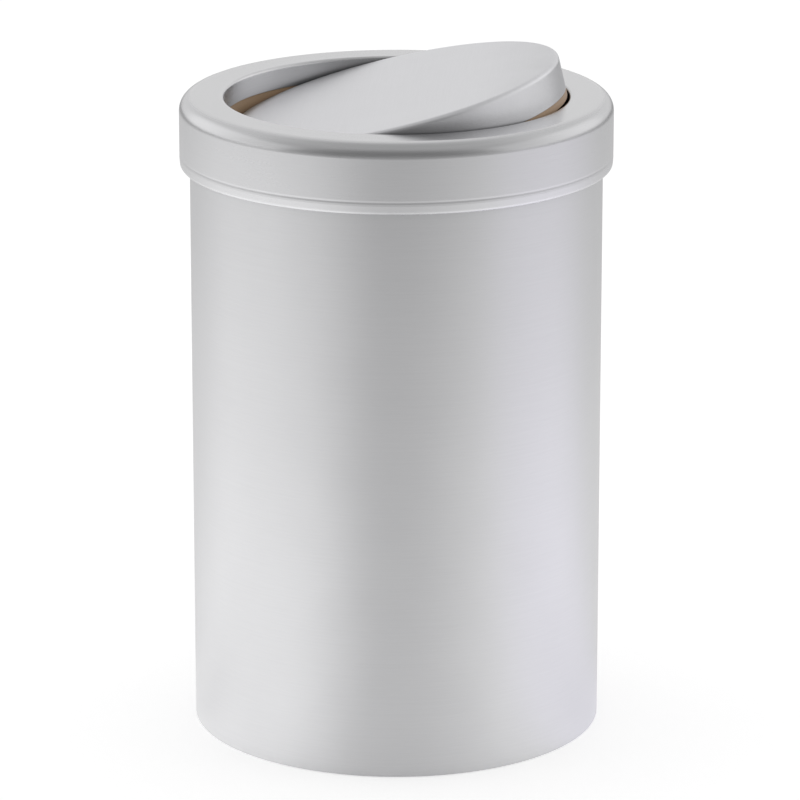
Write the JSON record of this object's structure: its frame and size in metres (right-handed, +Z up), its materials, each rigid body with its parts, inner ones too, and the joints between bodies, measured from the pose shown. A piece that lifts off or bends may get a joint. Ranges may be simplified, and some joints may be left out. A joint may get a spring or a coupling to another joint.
{
  "type": "swing lid wastebasket",
  "caption": "Round office wastebasket: straight satin steel tube, steel collar lid with a round tipping flap on two pins, and a removable moulded liner.",
  "frame": {"origin": "on the floor, under the centre of the tube", "axes": "+Z up; the flap's pivot line runs along Y at x = 0; +X is the side on which the flap is raised; -Y is the front, towards the viewer"},
  "size_m": [0.2624, 0.2624, 0.4171],
  "materials": {
    "satin_steel_body": "satin, fine grain round the tube",
    "satin_steel_lid": "satin, fine grain round the collar",
    "satin_steel_flap": "satin, straight fine grain",
    "pressed_steel": "mill finish",
    "black_moulding": "fine matt texture",
    "liner_moulding": "fine matt texture",
    "tan_moulding": "fine matt texture",
    "acetal": "semi gloss",
    "foot_rubber": "matt",
    "seal_rubber": "matt",
    "buffer_rubber": "matt",
    "zinc_screw": "zinc plated",
    "bright_pin": "ground",
    "spring_steel": "phosphated",
    "black_bar": "black dip coat"
  },
  "bodies": {
    "bin": {"body_shell": "satin_steel_body", "base_pan": "pressed_steel", "base_ring": "black_moulding", "base_screws": "zinc_screw", "foot_pads": "foot_rubber"},
    "liner": {"liner_bucket": "liner_moulding", "liner_rim": "liner_moulding"},
    "lid": {"lid_collar": "satin_steel_lid", "lid_carrier": "tan_moulding", "lid_seal": "seal_rubber", "pivot_bush_rear": "acetal", "pivot_bush_front": "acetal", "stop_buffers": "buffer_rubber"},
    "flap": {"flap_skin": "satin_steel_flap", "flap_tray": "tan_moulding", "counterweight": "black_bar", "counterweight_screws": "zinc_screw", "pivot_pin_rear": "bright_pin", "pivot_pin_front": "bright_pin", "pin_clip_rear": "spring_steel", "pin_clip_front": "spring_steel", "stop_arm": "pressed_steel"}
  },
  "joints": [
    {"name": "liner_lift", "type": "slide", "parent": "bin", "child": "liner", "axis": [0, 0, 1], "range_m": [0, 0.36]},
    {"name": "lid_lift", "type": "slide", "parent": "liner", "child": "lid", "axis": [0, 0, 1], "range_m": [0, 0.15]},
    {"name": "flap_swing", "type": "hinge", "parent": "lid", "child": "flap", "pos_m": [0, 0, 0.3835], "axis": [0, -1, 0], "range_deg": [-88.2, 61.8]}
  ]
}
